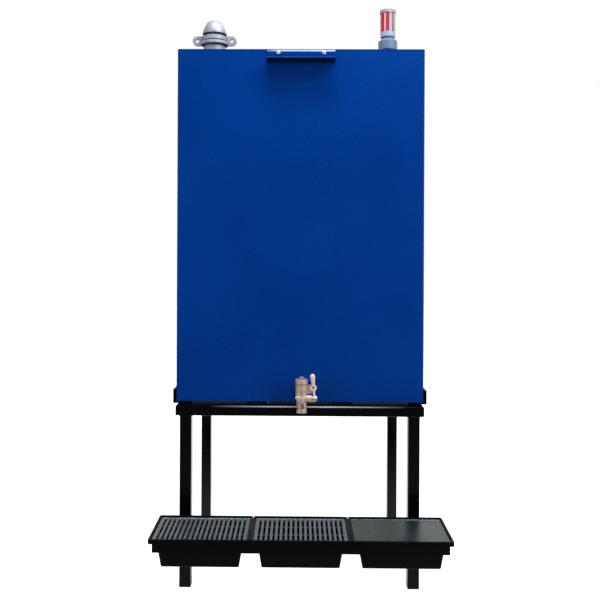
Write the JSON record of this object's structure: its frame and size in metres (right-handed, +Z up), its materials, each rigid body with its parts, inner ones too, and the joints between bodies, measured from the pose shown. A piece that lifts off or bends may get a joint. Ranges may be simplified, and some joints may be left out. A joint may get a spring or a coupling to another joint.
{
  "type": "gravity feed oil tank",
  "caption": "Tall rectangular blue steel oil tank on a black legged stand, with a lever tap at its foot, a filler and a breather on top, and drip trays in front.",
  "frame": {"origin": "on the floor under the middle of the whole object", "axes": "+Z up, front with the tap and trays towards -Y, +X to the right of someone facing the tap"},
  "size_m": [1.196, 0.987, 2.507],
  "materials": {
    "tank_paint": "gloss blue enamel",
    "stand_paint": "gloss black enamel",
    "tray_plastic": "moulded black polyethylene",
    "grate_plastic": "moulded black plastic",
    "foot_plastic": "moulded black plastic",
    "brass": "cast, unpolished",
    "lever_brass": "bright plated",
    "cast_aluminium": "as cast",
    "breather_collar": "moulded grey-blue plastic",
    "breather_canister": "smooth white plastic with a plain red panel",
    "breather_lid": "off-white moulded plastic"
  },
  "bodies": {
    "tank_and_stand": {"bearer_left": "stand_paint", "bearer_right": "stand_paint", "breather_canister": "breather_canister", "breather_collar": "breather_collar", "breather_lid": "breather_lid", "breather_pipe": "tank_paint", "cradle_angle_left": "stand_paint", "cradle_angle_right": "stand_paint", "drip_tray_left": "tray_plastic", "drip_tray_middle": "tray_plastic", "drip_tray_right": "tray_plastic", "filler_cap": "cast_aluminium", "filler_neck": "cast_aluminium", "filler_socket": "cast_aluminium", "front_left_foot": "foot_plastic", "front_left_leg": "stand_paint", "front_rail": "stand_paint", "front_right_foot": "foot_plastic", "front_right_leg": "stand_paint", "grate_left": "grate_plastic", "grate_middle": "grate_plastic", "left_rail": "stand_paint", "mesh_panel_right": "grate_plastic", "rear_left_foot": "foot_plastic", "rear_left_leg": "stand_paint", "rear_rail": "stand_paint", "rear_right_foot": "foot_plastic", "rear_right_leg": "stand_paint", "right_rail": "stand_paint", "shelf_bracket": "tank_paint", "tank_back_panel": "tank_paint", "tank_floor": "tank_paint", "tank_front_panel": "tank_paint", "tank_left_panel": "tank_paint", "tank_right_panel": "tank_paint", "tank_roof": "tank_paint", "tap_body": "brass", "tap_bonnet": "brass", "tap_boss": "tank_paint", "tray_holder_cross_bars": "stand_paint", "tray_holder_front_bar": "stand_paint", "tray_holder_left_bar": "stand_paint", "tray_holder_rear_bar": "stand_paint", "tray_holder_right_bar": "stand_paint"},
    "lever": {"tap_spindle": "brass", "tap_lever": "lever_brass"}
  },
  "joints": [
    {"name": "lever_turn", "type": "hinge", "parent": "tank_and_stand", "child": "lever", "pos_m": [0.008, -0.2855, 0.821], "axis": [1, 0, 0], "range_deg": [0, 90]}
  ]
}
